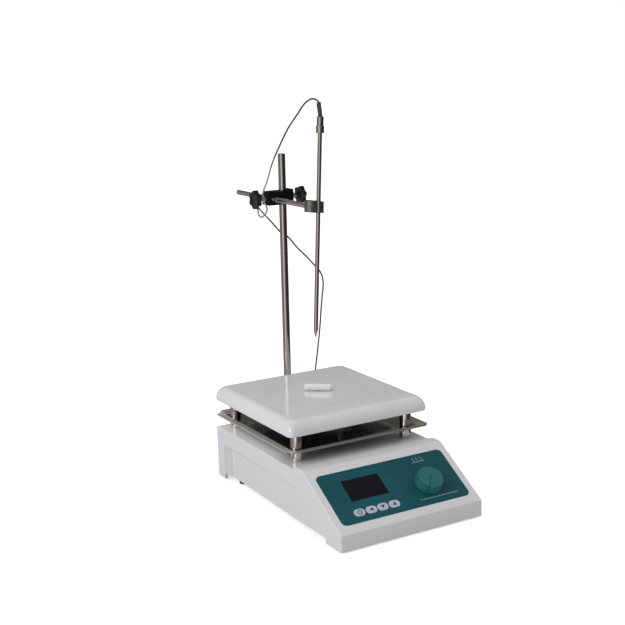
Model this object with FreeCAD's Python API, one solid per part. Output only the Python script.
import FreeCAD, Part
import math
import os

# Heated magnetic stirrer with a stand rod, boss head, cross arm and temperature probe.
# Millimetres. +Z up, +X to the right along the control panel, +Y to the back.
# Origin: centre of the base's footprint, on the plane the rubber feet rest on.

Vec = FreeCAD.Vector
os.makedirs("parts", exist_ok=True)

# ---------------------------------------------------------------- driving dimensions
# Housing
BASE_W, BASE_L = 180.0, 278.0   # width (X) and length (Y)
HALF_W = BASE_W / 2
BACK_Y = BASE_L / 2             # outer face of the back wall
LEG_Z = 2.0                     # underside of the end walls
SKIRT_Z = 8.0                   # underside of the side skirts
FRONT_Z = 19.9                  # top of the vertical front face
DECK_Z = 62.7                   # top deck
RIDGE_Z = 66.32                 # ridge between the deck and the panel
SLOPE_DEG = 31.8                # control panel slope
WALL = 3.0
POCKET_D = 4.0                  # depth of the side pockets at the back
COVER_TOP = SKIRT_Z + 1.5       # upper face of the bottom cover

# Hot plate and heater stack
PLATE_W = 180.6                 # square
PLATE_FLAT = 160.0              # flat top of the plate
PLATE_Y = 51.0                  # plate and drive axis, at x = 0
PLATE_BOT, PLATE_TOP = 95.4, 112.0
PLATE_R = 6.8                   # plan corner radius at the lower edge
BACKPLATE_Z = 98.3
PAD_Z0, PAD_Z1 = 99.5, 104.0    # insulation pad
RECESS_Z = 105.5                # ceiling of the recess under the plate
LEAD_Y = PLATE_Y + 45           # heater leads

# Spill tray and standoffs
TRAY_H = 91.3                   # half width over the rim
TRAY_Z0, TRAY_Z1 = 75.7, 79.6   # underside of the floor, top of the rim
TRAY_T = 1.0
TRAY_RUN = 10.8                 # width of the sloped rim
TRAY_HEM = 2.0                  # folded edge of the rim
POST = 71.8                     # half spacing of the four standoffs
POST_R = 6.6
STUD_R = 2.5

# Control panel: x, distance t up the slope, height h outwards from the surface
OVER_X, OVER_T0, OVER_T1, OVER_R = 81.0, 10.5, 77.5, 6.0
WIN_X0, WIN_X1, WIN_T0, WIN_T1 = -56.0, -9.5, 37.0, 64.8
FACE_H0, FACE_H1 = -0.5, 0.3    # underside and face of the overlay and window
BUTTONS = {"power": -55.5, "select": -40.8, "down": -26.6, "up": -12.0}  # x centres
BTN_T, BTN_L, BTN_H = 22.0, 13.2, 9.0
BTN_GAP = 0.25
KNOB_X, KNOB_T, KNOB_R0, KNOB_R1, KNOB_H = 40.5, 37.0, 15.0, 14.2, 11.0
KNOB_BASE = 0.8                 # underside of the speed knob
DIAL_R, BUSH_R = 3.0, 3.5       # potentiometer shaft and bush
BOARD_H0, BOARD_H1 = -12.6, -11.0

# Drive
BRACKET_Z0, BRACKET_Z1 = 52.7, 54.7
MOTOR_Z0 = 22.0
MOTOR_R = 29.0
SHAFT_R = 3.0
YOKE_Z1 = 88.0
DRIVE_TURN = -36.5              # resting angle of the magnets and the stir bar

# Stand rod, boss head and arm
ROD_X, ROD_Y, ROD_R = 15.0, 150.0, 4.5
ROD_Z0, ROD_Z1 = 26.0, 378.0
BRACKET_FOOT, BRACKET_HEAD = 24.0, 58.0
LOCK_Z = (BRACKET_FOOT + BRACKET_HEAD) / 2
ARM_X, ARM_Z, ARM_R = -3.0, 326.2, 3.0
ARM_Y0, ARM_Y1 = 61.0, 230.4
ARM_PIN_R = 2.0                 # thinner front end of the arm
BOSS_Z0, BOSS_Z1, BOSS_Y0, BOSS_Y1 = 318.5, 334.5, 142.0, 158.0
BOSS_LEFT, LUG_RIGHT = -8.7, 27.5
ARM_SCREW_Y = 148.5             # clamp screw for the arm
ROD_SCREW_Z = 327.1             # clamp screw for the rod
CLAMP_R = 2.5                   # clamp screws and lock screw
RUN = 0.05                      # radial running clearance

# Probe and clip
PROBE_X, PROBE_Y = 4.5, 49.5    # probe axis at arm height
PROBE_TILT = 2.8                # degrees, top towards +X, about the arm axis
PROBE_R = 2.5
TIP_Z, COLLAR_Z = 177.0, 408.0  # before tilting
LOOP_Y, LOOP_R = 53.0, 7.5      # clip loop
CLIP_H, CLIP_T = 13.0, 1.0

# Back wall fittings
INLET_X, INLET_Z = -52.0, 32.0
INLET_SCREW_X = (INLET_X - 20, INLET_X + 20)
SWITCH_X, SWITCH_Z = -19.5, 32.0
SOCK_X, SOCK_Z = 62.0, 34.0

# Screw holes
PILOT_R = 1.35                  # threaded into bosses
CLEAR_R = 1.7                   # clearance in covers and brackets
BOARD_HOLE_R = 1.6


# ---------------------------------------------------------------- helpers
def box(x0, x1, y0, y1, z0, z1):
    return Part.makeBox(x1 - x0, y1 - y0, z1 - z0, Vec(x0, y0, z0))


def cyl(x, y, z0, z1, r):
    return Part.makeCylinder(r, z1 - z0, Vec(x, y, z0))


def cone(x, y, z0, z1, r0, r1):
    return Part.makeCone(r0, r1, z1 - z0, Vec(x, y, z0))


def cyl_between(start, end, r):
    start, end = Vec(*start), Vec(*end)
    return Part.makeCylinder(r, (end - start).Length, start, end - start)


def cyl_x(y, z, x0, x1, r):
    return cyl_between((x0, y, z), (x1, y, z), r)


def cyl_y(x, z, y0, y1, r):
    return cyl_between((x, y0, z), (x, y1, z), r)


def drive_cyl(z0, z1, r):
    return cyl(0, PLATE_Y, z0, z1, r)


def dial_cyl(h0, h1, r):
    """Cylinder on the speed control's axis, in panel coordinates."""
    return cyl(KNOB_X, KNOB_T, h0, h1, r)


def back_cyl(x, z, d0, d1, r):
    """Cylinder along Y; d0 and d1 are measured outwards from the back wall."""
    return cyl_y(x, z, BACK_Y + d0, BACK_Y + d1, r)


def back_box(x, z, half_x, half_z, d0, d1):
    """Box centred on (x, z); d0 and d1 are measured outwards from the back wall."""
    return box(x - half_x, x + half_x, BACK_Y + d0, BACK_Y + d1, z - half_z, z + half_z)


PLANES = {
    "yz": lambda u, v, at: Vec(at, u, v),
    "xy": lambda u, v, at: Vec(u, v, at),
    "xz": lambda u, v, at: Vec(u, at, v),
}


def round_poly(corners, plane, at):
    """Closed wire from (u, v, radius) corners; (u, v) corners are sharp."""
    place = PLANES[plane]
    bends = []
    for i, corner in enumerate(corners):
        u, v, radius = (*corner, 0)[:3]
        if radius <= 0:
            point = place(u, v, at)
            bends.append((point, None, point))
            continue
        after = corners[(i + 1) % len(corners)]
        back = Vec(corners[i - 1][0] - u, corners[i - 1][1] - v, 0)
        ahead = Vec(after[0] - u, after[1] - v, 0)
        back.normalize()
        ahead.normalize()
        half = back.getAngle(ahead) / 2
        run = radius / math.tan(half)
        middle = back + ahead
        middle.normalize()
        reach = radius / math.sin(half) - radius
        steps = (back * run, middle * reach, ahead * run)
        bends.append(tuple(place(u + s.x, v + s.y, at) for s in steps))
    edges = []
    for i, (start, middle, end) in enumerate(bends):
        if middle is not None:
            edges.append(Part.Arc(start, middle, end).toShape())
        following = bends[(i + 1) % len(bends)][0]
        if (following - end).Length > 1e-6:
            edges.append(Part.makeLine(end, following))
    return Part.Wire(edges)


def prism(wire, vec):
    return Part.Face(wire).extrude(vec)


def rrect(x0, x1, y0, y1, r, z):
    return round_poly([(x0, y0, r), (x1, y0, r), (x1, y1, r), (x0, y1, r)], "xy", z)


def rbox(x0, x1, y0, y1, z0, z1, r):
    return prism(rrect(x0, x1, y0, y1, r, z0), Vec(0, 0, z1 - z0))


def square(half, z, r):
    """Rounded square wire centred on the drive axis."""
    return rrect(-half, half, PLATE_Y - half, PLATE_Y + half, r, z)


def square_block(half, z0, z1, r):
    return prism(square(half, z0, r), Vec(0, 0, z1 - z0))


def square_corners(half):
    return [(sx * half, PLATE_Y + sy * half) for sx in (-1, 1) for sy in (-1, 1)]


def stadium(x, t, length, height, h0, h1):
    half_l, half_h = length / 2, height / 2
    return rbox(x - half_l, x + half_l, t - half_h, t + half_h, h0, h1, half_h - 0.01)


def hexagon(x, y, z0, z1, across):
    r = across / math.sqrt(3)
    angles = [math.radians(60 * k) for k in range(6)]
    points = [Vec(x + r * math.cos(a), y + r * math.sin(a), z0) for a in angles]
    return prism(Part.makePolygon(points + [points[0]]), Vec(0, 0, z1 - z0))


def inset(corners, distance):
    """Polygon (u, v) moved inwards; the corners run anticlockwise."""
    lines = []
    for i, (u0, v0) in enumerate(corners):
        u1, v1 = corners[(i + 1) % len(corners)]
        du, dv = u1 - u0, v1 - v0
        length = math.hypot(du, dv)
        lines.append((u0 - dv / length * distance, v0 + du / length * distance, du, dv))
    moved = []
    for i, (bu, bv, bdu, bdv) in enumerate(lines):
        au, av, adu, adv = lines[i - 1]
        det = adu * -bdv + bdu * adv
        s = ((bu - au) * -bdv + bdu * (bv - av)) / det
        moved.append((au + adu * s, av + adv * s))
    return moved


def holes(shape, centres, z0, z1, r):
    for x, y in centres:
        shape = shape.cut(cyl(x, y, z0, z1, r))
    return shape


def fuse_all(shape, others):
    for other in others:
        shape = shape.fuse(other)
    return shape


def near(a, b, tolerance=0.01):
    return abs(a - b) < tolerance


def at_z(z):
    return lambda e: near(e.CenterOfMass.z, z, 1e-6)


def circle_of(r):
    return lambda e: len(e.Vertexes) == 1 and near(e.Length, 2 * math.pi * r, 0.1)


def fillet(shape, r, pick):
    """Rounds the picked edges, with a smaller radius where the full one fails."""
    edges = [e for e in shape.Edges if pick(e)]
    for radius in (r, r * 0.7, r * 0.4):
        # guards against a radius that the edges cannot take
        try:
            rounded = shape.makeFillet(radius, edges)
            if rounded.isValid() and rounded.Solids:
                return rounded
        except Exception:
            continue
    return shape


def chamfer(shape, size, pick):
    return shape.makeChamfer(size, [e for e in shape.Edges if pick(e)])


def on_panel(shape):
    """Places a shape made in panel coordinates (x, t, h)."""
    placed = shape.copy()
    placed.rotate(Vec(0, 0, 0), Vec(1, 0, 0), SLOPE_DEG)
    placed.translate(Vec(0, -BASE_L / 2, FRONT_Z))
    return placed


def around_drive(shape, angle):
    """Turns a shape made at the origin and moves it to the drive axis."""
    shape.rotate(Vec(0, 0, 0), Vec(0, 0, 1), angle)
    shape.translate(Vec(0, PLATE_Y, 0))
    return shape


def turn_drive(shape):
    shape.rotate(Vec(0, PLATE_Y, 0), Vec(0, 0, 1), DRIVE_TURN)
    return shape


def tilted(shape):
    """Tilts a probe or clip shape about the arm axis."""
    shape = shape.copy()
    shape.rotate(Vec(ARM_X, 0, ARM_Z), Vec(0, 1, 0), PROBE_TILT)
    return shape


UP, DOWN, FORWARD = (0, 0, 1), (0, 0, -1), (0, -1, 0)


def screw(seat, direction, length, r=1.3, head_r=2.8, head_h=1.8):
    """Cross-slotted pan-head screw: seat under the head, direction down the shank."""
    seat, direction = Vec(*seat), Vec(*direction)
    outwards = direction * -1
    body = Part.makeCylinder(head_r, head_h, seat, outwards)
    top = [
        e for e in body.Edges
        if near((e.CenterOfMass - seat).dot(direction), -head_h, 1e-6)
    ]
    body = body.makeFillet(head_h * 0.45, top)
    place = FreeCAD.Placement(seat, FreeCAD.Rotation(Vec(0, 0, 1), outwards))
    for k in range(2):
        slot = Part.makeBox(head_r * 1.1, head_r * 0.28, head_h * 0.6)
        slot.translate(Vec(-head_r * 0.55, -head_r * 0.14, head_h * 0.5))
        if k:
            slot.rotate(Vec(0, 0, 0), Vec(0, 0, 1), 90)
        slot.Placement = place.multiply(slot.Placement)
        body = body.cut(slot)
    return body.fuse(Part.makeCylinder(r, length, seat, direction)).removeSplitter()


def star_knob(centre, axis, r, thick, turn, hub_r, hub_h):
    """Six-lobed knob; axis points to its outer face, the hub is on the inner side."""
    count = 96
    points = []
    for k in range(count):
        a = 2 * math.pi * k / count
        reach = r * (0.90 + 0.10 * math.cos(6 * a))
        points.append(Vec(reach * math.cos(a), reach * math.sin(a), -thick / 2))
    outline = Part.BSplineCurve()
    outline.interpolate(points, PeriodicFlag=True)
    body = prism(Part.Wire([outline.toShape()]), Vec(0, 0, thick))
    body = fillet(
        body, 1.5,
        lambda e: abs(e.CenterOfMass.z) > thick / 2 - 0.01 and e.Length > 2 * r,
    )
    body = body.cut(cyl(0, 0, thick / 2 - 0.8, thick / 2 + 1, r * 0.5))
    body = body.fuse(cyl(0, 0, -thick / 2 - hub_h, -thick / 2 + 0.5, hub_r))
    body = body.cut(cyl(0, 0, -thick / 2 - hub_h - 1, thick / 2 - 2.2, CLAMP_R))
    body.rotate(Vec(0, 0, 0), Vec(0, 0, 1), turn)
    place = FreeCAD.Placement(Vec(*centre), FreeCAD.Rotation(Vec(0, 0, 1), Vec(*axis)))
    body.Placement = place.multiply(body.Placement)
    return body


def sweep(curve, r):
    """Round cable along a curve."""
    first = curve.FirstParameter
    ring = Part.makeCircle(r, curve.value(first), curve.tangent(first)[0])
    return Part.Wire([curve.toShape()]).makePipeShell([Part.Wire([ring])], True, True)


def group(shapes):
    return Part.makeCompound([s for shape in shapes for s in shape.Solids])


def export(name, shape):
    solids = shape.Solids
    assert solids, name
    for solid in solids:
        assert solid.isValid(), name
    shape = solids[0] if len(solids) == 1 else Part.makeCompound(solids)
    shape.exportStep("parts/%s.step" % name)


# ---------------------------------------------------------------- shared places
COVER_SCREWS = [
    (side * x, y) for side in (-1, 1) for x, y in ((76.0, -96.0), (72.0, -8.0), (72.0, 60.0))
]
FEET = [(x, y) for x in (-75.0, 75.0) for y in (-120.0, 99.0)]
POSTS = square_corners(POST)
BRACKET_SCREWS = square_corners(32)
MOTOR_SCREWS = [
    (20 * math.cos(math.radians(a)), PLATE_Y + 20 * math.sin(math.radians(a)))
    for a in (45, 135, 225, 315)
]
POWER_SCREWS = ((-62, 24), (-35, 24), (-62, 112), (-35, 112))
CONTROL_SCREWS = ((-63, 15.4), (24, 15.4), (-63, 67), (24, 66))          # x, t
ROD_BRACKET_SCREWS = [(ROD_X + dx, z) for z in (30.0, 52.0) for dx in (-12.5, 12.5)]  # x, z


def overlay_block(grow, h0, h1):
    return rbox(
        -OVER_X - grow, OVER_X + grow, OVER_T0 - grow, OVER_T1 + grow, h0, h1, OVER_R + grow
    )


def window_block(margin, h0, h1, r):
    return rbox(
        WIN_X0 + margin, WIN_X1 - margin, WIN_T0 + margin, WIN_T1 - margin, h0, h1, r
    )


def button_hole(x, h0, h1):
    return stadium(x, BTN_T, BTN_L + 2 * BTN_GAP, BTN_H + 2 * BTN_GAP, h0, h1)


# ---------------------------------------------------------------- housing
def side_pocket(grow, side):
    """Shallow pocket low on a side wall: deepest at the back, fading out to the front.

    grow = 0 is the outer cut; grow = WALL is the same pocket one wall further in.
    """
    y_start, y_deep, y_end, top = -58.0, 106.0, 119.0, 44.5
    over = 4.0                             # overshoot beyond the side wall
    outside = HALF_W + over
    floor = HALF_W - POCKET_D - grow
    fade = over / (POCKET_D / (y_deep - y_start))
    if grow == 0:
        y_exit = y_deep + (y_end - y_deep) * (POCKET_D + over) / POCKET_D
        plan = [(outside, y_start - fade), (floor, y_deep), (outside, y_exit)]
    else:
        y_back = y_end + grow * 0.6
        plan = [
            (outside, y_start - fade * 0.2), (HALF_W - grow, y_start), (floor, y_deep),
            (HALF_W - grow, y_back), (outside, y_back + over * 3.2),
        ]
    in_plan = prism(round_poly(plan, "xy", -2), Vec(0, 0, 80))
    lift = grow * 0.45
    section = [
        (outside, -2), (floor, -2), (floor, top - POCKET_D + lift), (outside, top + over + lift)
    ]
    pocket = in_plan.common(prism(round_poly(section, "xz", -200), Vec(0, 400, 0)))
    if side < 0:
        pocket = pocket.mirror(Vec(0, 0, 0), Vec(1, 0, 0))
    return pocket


def housing_body():
    """Hollow shell, open underneath, with the side pockets."""
    slope_end = -BACK_Y + (RIDGE_Z - FRONT_Z) / math.tan(math.radians(SLOPE_DEG))
    profile = [  # y, z, corner radius
        (-BACK_Y, LEG_Z, 0), (BACK_Y, LEG_Z, 0), (BACK_Y, DECK_Z, 2.0), (-45.0, DECK_Z, 2.5),
        (-50.5, RIDGE_Z, 2.0), (slope_end, RIDGE_Z, 3.5), (-BACK_Y, FRONT_Z, 1.6),
    ]
    outer = prism(round_poly(profile, "yz", -HALF_W), Vec(BASE_W, 0, 0))
    outer = fillet(
        outer, 1.8,
        lambda e: near(abs(e.CenterOfMass.x), HALF_W, 1e-3) and e.BoundBox.ZMax > LEG_Z + 0.5,
    )
    inner = inset([(y, z) for y, z, _ in profile], WALL)
    for i in (0, 1):                       # carry the cavity out through the underside
        inner[i] = (inner[i][0], -5.0)
    cavity = prism(round_poly(inner, "yz", -HALF_W + WALL), Vec(BASE_W - 2 * WALL, 0, 0))
    for side in (1, -1):
        outer = outer.cut(side_pocket(0, side))
        cavity = cavity.cut(side_pocket(WALL, side))
    return outer.cut(cavity).cut(box(-100, 100, -109.6, 120, -1, SKIRT_Z))


def add_bosses(body):
    """Screw bosses for the bottom cover and the motor bracket."""
    for x, y in COVER_SCREWS:
        top = DECK_Z - 1.0 if y > -40 else FRONT_Z + 24.5
        body = body.fuse(cyl(x, y, 9.5, top, 4.0))
        body = body.cut(cyl(x, y, 0, 22, PILOT_R))
    for x, y in BRACKET_SCREWS:
        body = body.fuse(cyl(x, y, BRACKET_Z1, DECK_Z - 1, 4.0))
        body = body.cut(cyl(x, y, 50, 60.5, PILOT_R))
    return body


def cut_deck(body):
    """Openings for the drive shaft, heater leads and standoff studs."""
    body = body.cut(drive_cyl(50, 70, 6.0))
    body = body.cut(cyl(-1.5, LEAD_Y, 50, 70, 6.5))
    return holes(body, POSTS, 50, 70, STUD_R + 0.1)


def cut_panel(body):
    body = body.cut(on_panel(overlay_block(0.15, FACE_H0, 5)))
    body = body.cut(on_panel(window_block(1.5, -6, 5, 1.0)))
    for x in BUTTONS.values():
        body = body.cut(on_panel(button_hole(x, -6, 5)))
    return body.cut(on_panel(dial_cyl(-6, 5, BUSH_R + 0.1)))


def cut_back_wall(body):
    def through(x, z, r):
        return back_cyl(x, z, -6, 2, r)

    body = body.cut(back_box(INLET_X, INLET_Z, 14, 10, -6, 2))
    for x in INLET_SCREW_X:
        body = body.cut(through(x, INLET_Z, 1.5))
    body = body.cut(back_box(SWITCH_X, SWITCH_Z, 6, 9.5, -6, 2))
    body = body.cut(through(SOCK_X, SOCK_Z, 6.0))
    for x, z in ROD_BRACKET_SCREWS:
        body = body.cut(through(x, z, 2.05))
    for k in range(9):                     # cooling slots
        body = body.cut(back_box(-64 + 5 * k, 52, 1.0, 5, -6, 2))
    return body


export("housing_shell", cut_back_wall(cut_panel(cut_deck(add_bosses(housing_body())))))


# ---------------------------------------------------------------- bottom cover, feet
def bottom_cover():
    cover = rbox(-82.4, 82.4, -135.6, 135.6, SKIRT_Z, COVER_TOP, 4.0)
    cover = holes(cover, COVER_SCREWS + FEET, 0, 20, CLEAR_R)
    for k in range(11):                    # slots below the fan
        x = -30 + 6 * k
        cover = cover.cut(rbox(x - 1.2, x + 1.2, PLATE_Y - 26, PLATE_Y + 26, 0, 20, 1.19))
    return cover


FOOT_SEAT_Z = 3.2               # screw head seat inside a foot


def rubber_foot(x, y):
    foot = fillet(cone(x, y, 0, SKIRT_Z, 6.2, 7.0), 0.9, at_z(0))
    return foot.cut(cyl(x, y, -1, FOOT_SEAT_Z, 3.6)).cut(cyl(x, y, 0, 10, 1.5))


export("bottom_cover", bottom_cover())
export("rubber_feet", group([rubber_foot(x, y) for x, y in FEET]))
pan_screws = [screw((x, y, SKIRT_Z), UP, 8.0) for x, y in COVER_SCREWS]
pan_screws += [screw((x, y, FOOT_SEAT_Z), UP, 8.0, r=1.45) for x, y in FEET]


# ---------------------------------------------------------------- control panel
def panel_overlay():
    overlay = overlay_block(0, FACE_H0, FACE_H1)
    overlay = overlay.cut(window_block(-0.05, -2, 2, 1.5))
    for x in BUTTONS.values():
        overlay = overlay.cut(button_hole(x, -2, 2))
    return overlay.cut(dial_cyl(-2, 2, BUSH_R + 0.1))


def display_window():
    window = window_block(0, FACE_H0, FACE_H1, 1.5)
    return window.fuse(window_block(1.6, -1.5, -0.4, 0.9)).removeSplitter()


def display_module():
    module = rbox(WIN_X0 - 2, WIN_X1 + 2, WIN_T0 - 1.0, WIN_T1 + 2, -9.5, -WALL, 0.8)
    module = module.fuse(box(WIN_X0 + 4, WIN_X1 - 4, WIN_T0 + 4, WIN_T1 - 4, -3.1, -1.9))
    pins = [cyl(WIN_X0 + 6 + 5 * k, WIN_T1 + 0.5, -11.0, -9.4, 0.4) for k in range(8)]
    return fuse_all(module, pins)


def control_board():
    board = rbox(-66, 28, 12, 70, BOARD_H0, BOARD_H1, 2.0)
    board = holes(board, CONTROL_SCREWS, -15, -9, BOARD_HOLE_R)
    chips = [  # x0, x1, t0, t1, top
        (-2, 12, 40, 50, -9.4), (-4, 2, 56, 62, -9.6), (8, 18, 28, 31, -8.5),
    ]
    board = fuse_all(board, [box(*plan, BOARD_H1, top) for *plan, top in chips])
    return board.removeSplitter()


def tact_switch(x):
    body = box(x - 3, x + 3, BTN_T - 3, BTN_T + 3, BOARD_H1, -7.9)
    body = fillet(body, 0.4, at_z(-7.9))
    return body.fuse(cyl(x, BTN_T, -8.0, -7.4, 1.6))


def button(x):
    """Cap with a lower layer, a tab to the left and a stem underneath."""
    cap = fillet(stadium(x, BTN_T, BTN_L, BTN_H, -3.3, 1.3), 0.55, at_z(1.3))
    cap = cap.fuse(stadium(x, BTN_T, BTN_L, BTN_H, -4.3, -3.2))
    half = BTN_L / 2
    cap = cap.fuse(rbox(x - half - 0.9, x + half, BTN_T - 1.5, BTN_T + 1.5, -4.3, -3.25, 0.4))
    return cap.fuse(cyl(x, BTN_T, -6.4, -4.2, 1.9)).removeSplitter()


export("panel_overlay", on_panel(panel_overlay()))
export("display_window", on_panel(display_window()))
export("display_module", on_panel(display_module()))
export("control_board", on_panel(control_board()))
spacers = [
    on_panel(cyl(x, t, BOARD_H1, -WALL, 2.9).cut(cyl(x, t, -12, -6.0, PILOT_R)))
    for x, t in CONTROL_SCREWS
]
spacers += [
    cyl(x, y, COVER_TOP, 14.0, 3.0).cut(cyl(x, y, 9, 15, PILOT_R)) for x, y in POWER_SCREWS
]
export("board_spacers", group(spacers))
pan_screws += [on_panel(screw((x, t, BOARD_H0), UP, 6.0)) for x, t in CONTROL_SCREWS]
export("tact_switches", group([on_panel(tact_switch(x)) for x in BUTTONS.values()]))
for name, x in BUTTONS.items():
    export("button_" + name, on_panel(button(x)))


# ---------------------------------------------------------------- speed control
def potentiometer():
    body = dial_cyl(-11.0, -WALL, 8.0)
    body = body.fuse(
        box(KNOB_X - 5, KNOB_X + 5, KNOB_T - 12.5, KNOB_T - 6, -10.5, -9.0)
    )
    return body.fuse(dial_cyl(-3.1, 3.2, BUSH_R)).cut(dial_cyl(-8.0, 5.0, DIAL_R + RUN))


def d_flat(x, t):
    """Block that cuts the flat on a shaft centred at (x, t)."""
    return box(x + 1.8, x + 5, t - 5, t + 5, 4.0, 10.0)


def speed_knob():
    top = KNOB_BASE + KNOB_H
    knob = fillet(cone(0, 0, KNOB_BASE, top, KNOB_R0, KNOB_R1), 0.9, at_z(top))
    knob = knob.fuse(cyl(0, 0, KNOB_BASE, KNOB_BASE + 1.6, KNOB_R0 + 0.55))
    knob = knob.cut(cyl(0, 0, 0, 4.2, 7.4))
    knob = knob.cut(cyl(0, 0, 0, 9.5, DIAL_R).cut(d_flat(0, 0)))
    # pointer groove across the top and down the side
    groove = box(-KNOB_R0 - 1, 2.0, -0.6, 0.6, top - 0.8, top + 1)
    groove = groove.fuse(
        box(-KNOB_R0 - 1, -KNOB_R1 + 0.5, -0.6, 0.6, KNOB_BASE + 2.6, top + 1)
    )
    groove.rotate(Vec(0, 0, 0), Vec(0, 0, 1), 52.0)
    knob = knob.cut(groove)
    knob.translate(Vec(KNOB_X, KNOB_T, 0))
    return knob


nut = hexagon(KNOB_X, KNOB_T, FACE_H1, 2.3, 10.0).cut(dial_cyl(0, 3, BUSH_R))
export("speed_potentiometer", group([on_panel(potentiometer()), on_panel(nut)]))
export("potentiometer_shaft", on_panel(dial_cyl(-7.9, 9.5, DIAL_R).cut(d_flat(KNOB_X, KNOB_T))))
export("speed_knob", on_panel(speed_knob()))


# ---------------------------------------------------------------- hot plate and heater
def hot_plate():
    half = PLATE_W / 2
    # lower edge: height above the underside, inset
    lower = ((0, 0.9), (0.5, 0.3), (1.4, 0.0), (3.0, 0.0))
    sections = [square(half - d, PLATE_BOT + dz, PLATE_R - d * 0.5) for dz, d in lower]
    run = (PLATE_W - PLATE_FLAT) / 2
    shoulder_z = PLATE_BOT + 3.0
    for k in range(1, 10):                 # elliptical shoulder up to the flat top
        a = math.radians(10 * k)
        inwards = 1 - math.cos(a)
        z = shoulder_z + (PLATE_TOP - shoulder_z) * math.sin(a)
        sections.append(square(half - run * inwards, z, PLATE_R + 2.2 * inwards))
    plate = Part.makeLoft(sections, True, True)
    recess = holes(square_block(half - 7, 90, RECESS_Z, 8.0), POSTS, 98.0, 106.0, 8.5)
    plate = holes(plate.cut(recess), POSTS, 90, 106.0, STUD_R)
    return plate.cut(drive_cyl(100, 107.5, 1.6))


def heating_element():
    disc = drive_cyl(104.3, RECESS_Z, 58.0).cut(drive_cyl(100, 108, 8.0))
    rings = [
        drive_cyl(PAD_Z1, 104.31, r + 1.6).cut(drive_cyl(103, 106, r - 1.6))
        for r in (16, 24, 32, 40, 48)
    ]
    return fuse_all(disc, rings)


def heater_backplate():
    pan = drive_cyl(BACKPLATE_Z, PAD_Z0, 66.0)
    pan = pan.fuse(drive_cyl(BACKPLATE_Z, RECESS_Z, 66.0).cut(drive_cyl(90, 110, 64.8)))
    return pan.cut(drive_cyl(90, 100, 2.2)).cut(cyl(0, LEAD_Y, 90, 100, 3.2))


export("hot_plate", hot_plate())
export("heating_element", heating_element())
export("insulation_pad", drive_cyl(PAD_Z0, PAD_Z1, 62.0).cut(drive_cyl(90, 108, 4.0)))
export("heater_backplate", heater_backplate())
export("plate_sensor", drive_cyl(97.8, 107.5, 1.6).fuse(drive_cyl(97.0, BACKPLATE_Z, 2.0)))


# ---------------------------------------------------------------- tray and standoffs
FLOOR_H = TRAY_H - TRAY_RUN     # half width of the flat floor


def tray_sheet():
    """Square tray with a sloped rim and a hem, before its corners are cut."""
    slant = math.hypot(TRAY_RUN, TRAY_Z1 - TRAY_Z0 - TRAY_T)
    upright = TRAY_T * TRAY_RUN / slant
    slope_top = TRAY_Z1 - upright
    outer = Part.makeLoft(
        [square(FLOOR_H, TRAY_Z0, 1.5), square(TRAY_H, slope_top, 1.5)], True, True
    )
    hem = square_block(TRAY_H, TRAY_Z1 - TRAY_HEM, TRAY_Z1, 1.5)
    hem = hem.cut(square_block(TRAY_H - 1.1, TRAY_Z1 - TRAY_HEM - 1, TRAY_Z1 + 1, 1.0))
    bottom = square(FLOOR_H - 0.2, TRAY_Z0 + TRAY_T, 1.3)
    inner = Part.makeLoft([bottom, square(TRAY_H - 1.2, TRAY_Z1 - 0.25, 1.3)], True, True)
    slab = square_block(TRAY_H - 0.6, slope_top - 0.001, TRAY_Z1, 1.5)
    mouth = square_block(TRAY_H - 1.2, TRAY_Z1 - 0.26, TRAY_Z1 + 2.74, 1.3)
    return outer.fuse(slab).cut(inner).cut(mouth).fuse(hem).removeSplitter()


def spill_tray():
    tray = tray_sheet()
    for sx, sy in ((-1, -1), (-1, 1), (1, -1), (1, 1)):
        # the four rim flaps part at the corners, wider at the front left
        slit = box(1.0, 40, -0.7, 0.7, 60, 90)
        if sx < 0 and sy < 0:
            slit = slit.fuse(box(5.0, 40, -5.0, 0.7, 60, 90))
        slit.rotate(Vec(0, 0, 0), Vec(0, 0, 1), math.degrees(math.atan2(sy, sx)))
        slit.translate(Vec(sx * FLOOR_H, PLATE_Y + sy * FLOOR_H, 0))
        tray = tray.cut(slit)
        # the corners are trimmed, most at the back left
        trim = 10.0 if sx < 0 and sy > 0 else 4.0
        cutter = box(-20, 20, -20, 20, 60, 90)
        cutter.rotate(Vec(0, 0, 0), Vec(0, 0, 1), 45)
        reach = TRAY_H - trim / 2 + 20 / math.sqrt(2)
        cutter.translate(Vec(sx * reach, PLATE_Y + sy * reach, 0))
        tray = tray.cut(cutter)
    tray = holes(tray, POSTS, 60, 90, STUD_R + 0.1)
    return tray.cut(drive_cyl(60, 90, 8.0)).cut(cyl(0, LEAD_Y, 60, 90, 4.0))


def standoff(x, y, z0, z1):
    sleeve = chamfer(cyl(x, y, z0, z1, POST_R), 0.4, circle_of(POST_R))
    return sleeve.cut(cyl(x, y, z0 - 1, z1 + 1, STUD_R))


def stud_nut(x, y):
    return hexagon(x, y, 55.7, DECK_Z - WALL, 8.0).cut(cyl(x, y, 50, 62, STUD_R))


export("spill_tray", spill_tray())
levels = ((DECK_Z, TRAY_Z0), (TRAY_Z0 + TRAY_T, 98.0))     # below and above the tray
export("plate_standoffs", group([standoff(x, y, *zz) for zz in levels for x, y in POSTS]))
export("standoff_studs", group([cyl(x, y, 53.0, 105.0, STUD_R) for x, y in POSTS]))
export("standoff_nuts", group([stud_nut(x, y) for x, y in POSTS]))


# ---------------------------------------------------------------- stirring drive
def motor_bracket():
    plate = square_block(40, BRACKET_Z0, BRACKET_Z1, 5.0).cut(drive_cyl(50, 60, 9.0))
    return holes(plate, BRACKET_SCREWS + MOTOR_SCREWS, 50, 60, CLEAR_R)


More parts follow.
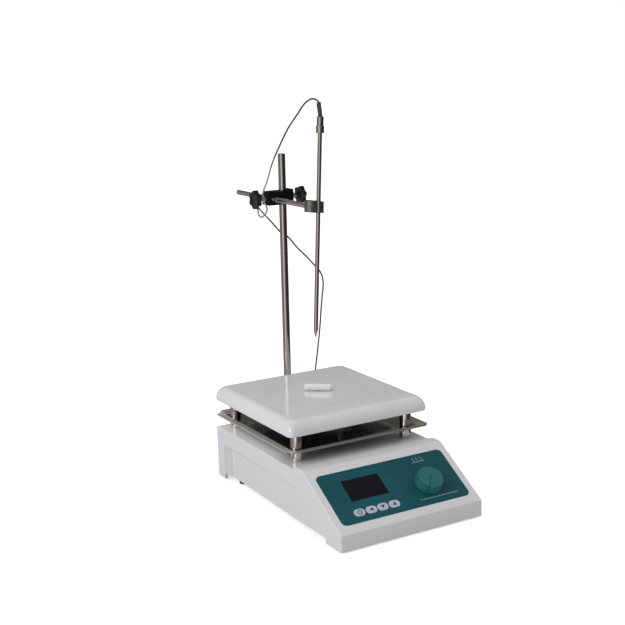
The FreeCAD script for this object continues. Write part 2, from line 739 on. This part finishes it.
def motor_housing():
    can = fillet(drive_cyl(MOTOR_Z0, BRACKET_Z0, MOTOR_R), 1.5, circle_of(MOTOR_R))
    can = can.cut(drive_cyl(25.0, 49.7, 26.5)).cut(drive_cyl(10, 60, 5.5))
    can = holes(can, MOTOR_SCREWS, 49.0, 53, PILOT_R)
    for k in range(8):                     # radial slots in the lower end
        can = can.cut(around_drive(box(10, 22, -2, 2, 20, 26), 22.5 + 45 * k))
    return can


def motor_stator():
    stator = drive_cyl(28.0, 46.0, 26.5).cut(drive_cyl(20, 60, 14.0))
    for k in range(12):
        stator = stator.cut(around_drive(box(13, 22, -1.6, 1.6, 20, 60), 30 * k))
    return stator


def bearing(z0, z1):
    return drive_cyl(z0, z1, 5.5).cut(drive_cyl(z0 - 1, z1 + 1, SHAFT_R + RUN))


def cooling_fan():
    fan = drive_cyl(11.5, 17.5, 7.0)
    for k in range(7):
        blade = box(6.2, 26.0, -0.7, 0.7, -2.6, 2.6)
        blade.rotate(Vec(0, 0, 0), Vec(1, 0, 0), 38)
        blade.rotate(Vec(0, 0, 0), Vec(0, 0, 1), 360.0 * k / 7)
        blade.translate(Vec(0, PLATE_Y, 14.5))
        fan = fan.fuse(blade)
    return fan.cut(drive_cyl(0, 30, SHAFT_R))


def magnet_yoke():
    yoke = rbox(-36, 36, PLATE_Y - 9, PLATE_Y + 9, 84.0, YOKE_Z1, 8.9)
    yoke = yoke.fuse(drive_cyl(78.0, 84.1, 7.0)).cut(drive_cyl(70, 90, SHAFT_R))
    return turn_drive(yoke.removeSplitter())


def drive_magnet(x):
    magnet = chamfer(cyl(x, PLATE_Y, YOKE_Z1, 96.5, 8.0), 0.5, circle_of(8.0))
    return turn_drive(magnet)


export("motor_bracket", motor_bracket())
export("motor_housing", motor_housing())
pan_screws += [screw((x, y, BRACKET_Z0), UP, 6.0) for x, y in BRACKET_SCREWS]
pan_screws += [screw((x, y, BRACKET_Z1), DOWN, 4.8) for x, y in MOTOR_SCREWS]
export("motor_stator", motor_stator())
bearings = [bearing(MOTOR_Z0, MOTOR_Z0 + 4), bearing(BRACKET_Z0 - 4, BRACKET_Z0)]
export("motor_bearings", group(bearings))
drive_shaft = chamfer(drive_cyl(10.6, YOKE_Z1, SHAFT_R), 0.4, circle_of(SHAFT_R))
rotor = drive_cyl(28.5, 45.5, 13.5).cut(drive_cyl(20, 60, SHAFT_R))
export("motor_rotor_shaft", group([drive_shaft, rotor]))
export("cooling_fan", cooling_fan())
export("magnet_yoke", magnet_yoke())
export("drive_magnets", group([drive_magnet(x) for x in (-26, 26)]))

# stir bar lying on the plate, a round-ended coating over a magnet core
BAR_R, BAR_L = 4.0, 33.0
bar_z = PLATE_TOP + BAR_R + 0.02
bar_end = BAR_L / 2 - BAR_R
bar = cyl_x(PLATE_Y, bar_z, -bar_end, bar_end, BAR_R)
for side in (-1, 1):
    bar = bar.fuse(Part.makeSphere(BAR_R, Vec(side * bar_end, PLATE_Y, bar_z)))
core = cyl_x(PLATE_Y, bar_z, -11.5, 11.5, 2.5)
bar = bar.removeSplitter().cut(core)
export("stir_bar", turn_drive(bar))
export("stir_bar_magnet", turn_drive(core))

# ---------------------------------------------------------------- electrics
POWER_TOP = 15.6                # upper face of the power board


def power_board():
    board = rbox(-66, -31, 20, 116, 14.0, POWER_TOP, 2.0)
    board = holes(board, POWER_SCREWS, 10, 20, BOARD_HOLE_R)
    blocks = ((-50, -38, 88, 104, 27), (-64, -56, 72, 84, 24), (-48, -36, 30, 42, 22))
    board = fuse_all(board, [box(*plan, POWER_TOP, top) for *plan, top in blocks])
    cans = [cyl(x, y, POWER_TOP, 27, 3.5) for x, y in ((-52, 78), (-40, 76))]
    return fuse_all(board, cans).removeSplitter()


def heat_sink():
    plate = box(-65, -62.5, 30, 44, POWER_TOP, 44)
    fins = [box(-62.6, -52, 30 + 4 * k, 31.4 + 4 * k, POWER_TOP, 44) for k in range(4)]
    return fuse_all(plate, fins).removeSplitter()


def transformer():
    body = rbox(-65, -33, 46, 66, POWER_TOP, 43.0, 1.0)
    body = body.cut(box(-61, -55, 40, 70, 22, 37)).cut(box(-43, -37, 40, 70, 22, 37))
    return body.fuse(rbox(-54.9, -43.1, 44.2, 67.8, 19, 40, 2.0)).removeSplitter()


def power_inlet():
    """Flanged socket body with three pins."""
    body = back_box(INLET_X, INLET_Z, 14, 10, -16, 0.01)
    body = body.fuse(back_box(INLET_X, INLET_Z, 24, 12, 0, 3.0))
    body = fillet(
        body, 2.0,
        lambda e: near(e.CenterOfMass.y, BACK_Y + 1.5)
        and near(abs(e.CenterOfMass.x - INLET_X), 24),
    )
    mouth = [  # x, z, corner radius
        (-63.8, 24.2, 1.0), (-40.2, 24.2, 1.0), (-40.2, 36.0, 0.5),
        (-44.0, 39.8, 0.5), (-60.0, 39.8, 0.5), (-63.8, 36.0, 0.5),
    ]
    body = body.cut(prism(round_poly(mouth, "xz", BACK_Y + 4), Vec(0, -17.0, 0)))
    for x in INLET_SCREW_X:
        body = body.cut(back_cyl(x, INLET_Z, -1, 4, 1.6))
    pin_xz = ((-59.0, 30.0), (-45.0, 30.0), (-52.0, 34.5))
    pins = [back_box(x, z, 1.0, 2.0, -20, -1.0) for x, z in pin_xz]
    for pin in pins:
        body = body.cut(pin)
    return group([body] + pins)


def switch_pivot(half_x, r):
    return cyl_x(BACK_Y - 2.0, SWITCH_Z, SWITCH_X - half_x, SWITCH_X + half_x, r)


def switch_frame():
    frame = back_box(SWITCH_X, SWITCH_Z, 6, 9.5, -14, 0.01)
    frame = frame.fuse(back_box(SWITCH_X, SWITCH_Z, 7.5, 11, 0, 1.8))
    frame = frame.cut(back_box(SWITCH_X, SWITCH_Z, 4.8, 8, -12, 3))
    return frame.cut(switch_pivot(5.7, 1.0 + RUN))


def power_rocker():
    profile = [  # distance out from the back wall, z, corner radius
        (-7.0, 29.0, 0), (-7.0, 35.0, 0), (-1.0, 39.2, 0.5), (2.6, 39.2, 0.8),
        (1.6, 32.0, 0), (2.6, 24.8, 0.8), (-1.0, 24.8, 0.5),
    ]
    half = 4.65
    outline = [(BACK_Y + d, z, r) for d, z, r in profile]
    rocker = prism(round_poly(outline, "yz", SWITCH_X - half), Vec(2 * half, 0, 0))
    rocker = rocker.fuse(switch_pivot(5.6, 1.0))
    rocker.rotate(Vec(0, BACK_Y - 2.0, SWITCH_Z), Vec(1, 0, 0), -7.0)
    return rocker


def sock_cyl(d0, d1, r):
    return back_cyl(SOCK_X, SOCK_Z, d0, d1, r)


CONTACTS = [
    (SOCK_X + 2.4 * math.cos(math.radians(a)), SOCK_Z + 2.4 * math.sin(math.radians(a)))
    for a in (45, 135, 225, 315)
]


def probe_socket():
    socket = sock_cyl(-12, 0.01, 5.95).fuse(sock_cyl(0, 2.5, 8.0)).cut(sock_cyl(-8, 3, 4.6))
    return fuse_all(socket, [back_cyl(x, z, -8.5, -2.0, 0.45) for x, z in CONTACTS])


def probe_plug():
    plug = sock_cyl(-4.0, 3.0, 4.5).fuse(sock_cyl(2.5, 16.0, 5.5))
    plug = fillet(plug, 0.8, lambda e: near(e.CenterOfMass.y, BACK_Y + 16.0, 1e-3))
    for x, z in CONTACTS:
        plug = plug.cut(back_cyl(x, z, -9, -1.8, 0.6))
    for k in range(5):                     # grip grooves
        plug = plug.cut(sock_cyl(5 + 2 * k, 5.8 + 2 * k, 6).cut(sock_cyl(0, 20, 5.1)))
    tail = Part.makeCone(3.2, 1.8, 10.0, Vec(SOCK_X, BACK_Y + 16.0, SOCK_Z), Vec(0, 1, 0))
    return plug.fuse(tail)


export("power_board", group([power_board(), heat_sink()]))
export("transformer", transformer())
export("power_inlet", power_inlet())
pan_screws += [screw((x, y, POWER_TOP), DOWN, 5.5) for x, y in POWER_SCREWS]
pan_screws += [
    screw((x, BACK_Y + 3.0, INLET_Z), FORWARD, 8.0, r=1.45) for x in INLET_SCREW_X
]
export("pan_head_screws", group(pan_screws))
export("switch_frame", switch_frame())
export("power_rocker", power_rocker())
export("probe_socket", probe_socket())
export("probe_plug", probe_plug())


# ---------------------------------------------------------------- rod bracket and rod
def rod_bracket():
    """Plate on the back wall with a web out to the rod's socket."""
    half_z = (BRACKET_HEAD - BRACKET_FOOT) / 2
    body = back_box(ROD_X, LOCK_Z, 18, half_z, 0, 3.0)
    body = fillet(body, 3.0, lambda e: near(e.CenterOfMass.y, BACK_Y + 1.5))
    body = body.fuse(
        box(ROD_X - 7.5, ROD_X + 7.5, BACK_Y + 2.9, ROD_Y + 1.0, BRACKET_FOOT, BRACKET_HEAD)
    )
    body = body.fuse(cyl(ROD_X, ROD_Y, BRACKET_FOOT, BRACKET_HEAD, 7.5))
    body = body.cut(cyl(ROD_X, ROD_Y, ROD_Z0 - 0.05, 60.0, ROD_R + RUN))
    body = body.cut(cyl_y(ROD_X, LOCK_Z, ROD_Y, ROD_Y + 12, CLAMP_R + RUN))
    for x, z in ROD_BRACKET_SCREWS:
        body = body.cut(back_cyl(x, z, -1, 4, 2.1))
    return body.removeSplitter()


export("rod_bracket", rod_bracket())
export("rod_bracket_screws", group([
    screw((x, BACK_Y + 3.0, z), FORWARD, 8.0, r=1.95, head_r=3.4, head_h=2.2)
    for x, z in ROD_BRACKET_SCREWS
]))
rod = cyl(ROD_X, ROD_Y, ROD_Z0, ROD_Z1, ROD_R)
export("support_rod", chamfer(rod, 0.6, circle_of(ROD_R)))

lock_y = ROD_Y + ROD_R + 0.1
lock_screw = cyl_y(ROD_X, LOCK_Z, lock_y, lock_y + 20.0, CLAMP_R)
lock_star = star_knob(
    (ROD_X, lock_y + 19.5, LOCK_Z), (0, 1, 0), r=10.0, thick=7.0, turn=10, hub_r=5.0, hub_h=3.0
)
export("rod_lock_knob", group([lock_screw, lock_star]))


# ---------------------------------------------------------------- boss head
def boss_head():
    boss = box(BOSS_LEFT, ROD_X, BOSS_Y0, BOSS_Y1, BOSS_Z0, BOSS_Z1)
    boss = boss.fuse(cyl(ROD_X, ROD_Y, BOSS_Z0, BOSS_Z1, 8.6))
    lug = box(ROD_X, LUG_RIGHT, ROD_Y - 6.2, ROD_Y + 6.2, BOSS_Z0 + 1.0, BOSS_Z1 + 1.4)
    lug = fillet(lug, 2.2, lambda e: near(e.CenterOfMass.x, LUG_RIGHT))
    boss = boss.fuse(lug).removeSplitter()
    boss = fillet(boss, 1.2, lambda e: near(e.CenterOfMass.x, BOSS_LEFT))
    boss = boss.cut(cyl(ROD_X, ROD_Y, 300, 350, ROD_R + RUN))
    boss = boss.cut(cyl_y(ARM_X, ARM_Z, 130, 170, ARM_R + RUN))
    boss = boss.cut(cyl_x(ROD_Y, ROD_SCREW_Z, ROD_X, 40, CLAMP_R + RUN))
    return boss.cut(cyl_x(ARM_SCREW_Y, ARM_Z, ARM_X, -20, CLAMP_R + RUN))


def collar_screw(y, z, x0, x1, collar0, collar1):
    """Plain screw along X from x0 to x1 with a round collar."""
    shank = cyl_x(y, z, x0, x1, CLAMP_R)
    return shank.fuse(cyl_x(y, z, collar0, collar1, 3.5)).removeSplitter()


export("boss_head", boss_head())
export("rod_clamp_screw", collar_screw(
    ROD_Y, ROD_SCREW_Z, ROD_X + ROD_R + 0.1, 39.2, LUG_RIGHT + 0.2, 30.4
))
export("rod_clamp_knob", star_knob(
    (39.7, ROD_Y, ROD_SCREW_Z), (1, 0, 0), r=11.2, thick=7.0, turn=15, hub_r=3.8, hub_h=2.5
))
export("arm_clamp_screw", collar_screw(
    ARM_SCREW_Y, ARM_Z, ARM_X - ARM_R - 0.1, -22.5, BOSS_LEFT - 0.2, -11.6
))
export("arm_clamp_knob", star_knob(
    (-22.5, ARM_SCREW_Y, ARM_Z), (-1, 0, 0), r=11.1, thick=7.5, turn=0, hub_r=4.4, hub_h=2.0
))


# ---------------------------------------------------------------- arm, clip, probe
def support_arm():
    arm = cyl_y(ARM_X, ARM_Z, ARM_Y0, ARM_Y1, ARM_R)
    arm = chamfer(
        arm, 0.5, lambda e: len(e.Vertexes) == 1 and near(e.CenterOfMass.y, ARM_Y1)
    )
    arm = arm.fuse(cyl_y(ARM_X, ARM_Z, ARM_Y0 + 0.1, 58.0, ARM_PIN_R))
    return arm.fuse(cyl_y(ARM_X, ARM_Z, 58.1, 56.6, 3.2)).removeSplitter()


def probe_clip():
    """Loop at the arm's front end joined to a channel that holds the probe."""
    z0, z1 = ARM_Z - CLIP_H / 2 - 3, ARM_Z + CLIP_H / 2 + 3
    loop_bore = cyl(ARM_X, LOOP_Y, z0 - 1, z1 + 1, LOOP_R - CLIP_T)
    loop = cyl(ARM_X, LOOP_Y, z0, z1, LOOP_R).cut(loop_bore)
    # channel round the back of the probe, open to the front
    r = PROBE_R + RUN
    probe_bore = cyl(PROBE_X, PROBE_Y, z0 - 1, z1 + 1, r)
    channel = cyl(PROBE_X, PROBE_Y, z0, z1, r + CLIP_T)
    channel = channel.fuse(
        box(PROBE_X + r, PROBE_X + r + CLIP_T, PROBE_Y - 6.0, PROBE_Y, z0, z1)
    )
    channel = channel.cut(probe_bore)
    channel = channel.cut(
        box(PROBE_X - r, PROBE_X + r, PROBE_Y - 12, PROBE_Y, z0 - 1, z1 + 1)
    )
    clip = loop.fuse(channel).cut(probe_bore).cut(loop_bore)
    clip = tilted(clip.removeSplitter())
    # the sheet's top and bottom edges slope down to the right
    band = box(-30, 30, 30, 80, -CLIP_H / 2, CLIP_H / 2)
    band.rotate(Vec(0, 0, 0), Vec(0, 1, 0), 6.5)
    band.translate(Vec(ARM_X, 0, ARM_Z + 0.4))
    return clip.common(band).cut(cyl_y(ARM_X, ARM_Z, 50, 62, ARM_PIN_R + RUN))


def probe_cyl(z0, z1, r):
    return cyl(PROBE_X, PROBE_Y, z0, z1, r)


def probe_tube():
    tube = probe_cyl(TIP_Z + 8.0, COLLAR_Z + 6.0, PROBE_R)
    tube = tube.fuse(cone(PROBE_X, PROBE_Y, TIP_Z, TIP_Z + 8.0, 0.6, PROBE_R))
    return tilted(tube.removeSplitter())


NECK_Z = COLLAR_Z + 18.6        # top of the collar


def probe_collar():
    collar = fillet(probe_cyl(COLLAR_Z, COLLAR_Z + 7.5, 4.65), 0.5, circle_of(4.65))
    collar = collar.fuse(probe_cyl(COLLAR_Z + 7.0, COLLAR_Z + 17.5, 3.9))
    collar = collar.fuse(cone(PROBE_X, PROBE_Y, COLLAR_Z + 17.5, NECK_Z, 3.9, 2.6))
    collar = collar.cut(probe_cyl(COLLAR_Z - 1, COLLAR_Z + 6.0, PROBE_R))
    return tilted(collar.removeSplitter())


# flexible neck above the collar, leaning the other way
NECK_L = 15.3
arm_point = Vec(ARM_X, 0, ARM_Z)
tilt = FreeCAD.Rotation(Vec(0, 1, 0), PROBE_TILT)
neck_base = tilt.multVec(Vec(PROBE_X, PROBE_Y, NECK_Z) - arm_point) + arm_point
lean = Vec(-0.11, 0.02, 0.99)
lean.normalize()
neck_top = neck_base + lean * NECK_L


def probe_neck(collar, tube):
    neck = Part.makeCylinder(2.5, NECK_L, neck_base, lean)
    neck = neck.makeFillet(0.8, [
        e for e in neck.Edges
        if len(e.Vertexes) == 1 and (e.CenterOfMass - neck_top).Length < 0.01
    ])
    return neck.fuse(Part.makeSphere(2.4, neck_base)).cut(collar).cut(tube)


export("support_arm", support_arm())
export("probe_clip", probe_clip())
tube = probe_tube()
collar = probe_collar()
export("probe_tube", tube)
export("probe_collar", collar)
export("probe_neck", probe_neck(collar, tube))

# ---------------------------------------------------------------- cables
# Probe cable, x y z: from the neck down to the arm's clamp screw ...
CABLE_UPPER = [
    (0.9, 52.0, 445.0), (-3.3, 56.0, 442.4), (-7.5, 66.0, 431.6), (-11.3, 80.0, 416.8),
    (-14.0, 100.0, 393.5), (-14.8, 120.0, 369.0), (-15.2, 137.0, 342.4),
    (-15.6, 143.4, 331.6), (-15.0, 144.0, 325.8),
]
# ... then in a loop below it and down behind the rod to the plug
CABLE_LOWER = [
    (-10.4, 145.4, 319.2), (-8.3, 147.0, 313.1), (-10.3, 148.6, 307.7), (-15.0, 150.2, 304.6),
    (-18.0, 150.9, 309.5), (-17.4, 151.3, 315.6), (-14.6, 151.5, 313.0), (-9.2, 151.9, 307.2),
    (-1.6, 152.7, 299.4), (6.5, 155.2, 291.4), (15.0, 158.4, 283.6), (25.8, 160.0, 276.4),
    (39.0, 161.0, 261.8), (52.0, 161.6, 249.4), (64.2, 162.2, 236.6), (72.9, 162.8, 226.8),
    (77.0, 163.4, 214.0), (76.6, 165.0, 198.0), (74.0, 168.0, 158.0), (71.0, 174.0, 110.0),
    (68.0, 181.0, 70.0), (64.0, 182.0, 42.0), (SOCK_X, 172.0, SOCK_Z + 0.05),
    (SOCK_X, BACK_Y + 26.25, SOCK_Z),
]
cable = Part.BSplineCurve()
cable.interpolate(
    Points=[neck_top + lean * 0.6, neck_top + Vec(-2.7, 0.8, 3.0)]
    + [Vec(*p) for p in CABLE_UPPER + CABLE_LOWER]
)
split = cable.parameter(Vec(*CABLE_UPPER[-1]))
for name, start, end in (
    ("upper", cable.FirstParameter, split), ("lower", split, cable.LastParameter)
):
    piece = cable.copy()
    piece.segment(start, end)
    export("probe_cable_" + name, sweep(piece, 1.0))


def heater_lead(side):
    """Lead from the heater down through the tray and the deck to the transformer."""
    top_x, low_x = side * 1.4, side * 1.5
    points = [
        (top_x, LEAD_Y, BACKPLATE_Z), (top_x, LEAD_Y + 0.1, 85.0), (top_x, LEAD_Y, 66.0),
        (low_x - 9, LEAD_Y + 1, 50.0), (low_x - 34, LEAD_Y + 2, 41.0),
        (low_x - 44.0, LEAD_Y + 2, 33.0), (low_x - 44.0, LEAD_Y + 2, 27.05),
    ]
    curve = Part.BSplineCurve()
    curve.interpolate(
        Points=[Vec(*p) for p in points], InitialTangent=Vec(*DOWN), FinalTangent=Vec(*DOWN)
    )
    return sweep(curve, 1.1)


export("heater_leads", group([heater_lead(side) for side in (-1, 1)]))
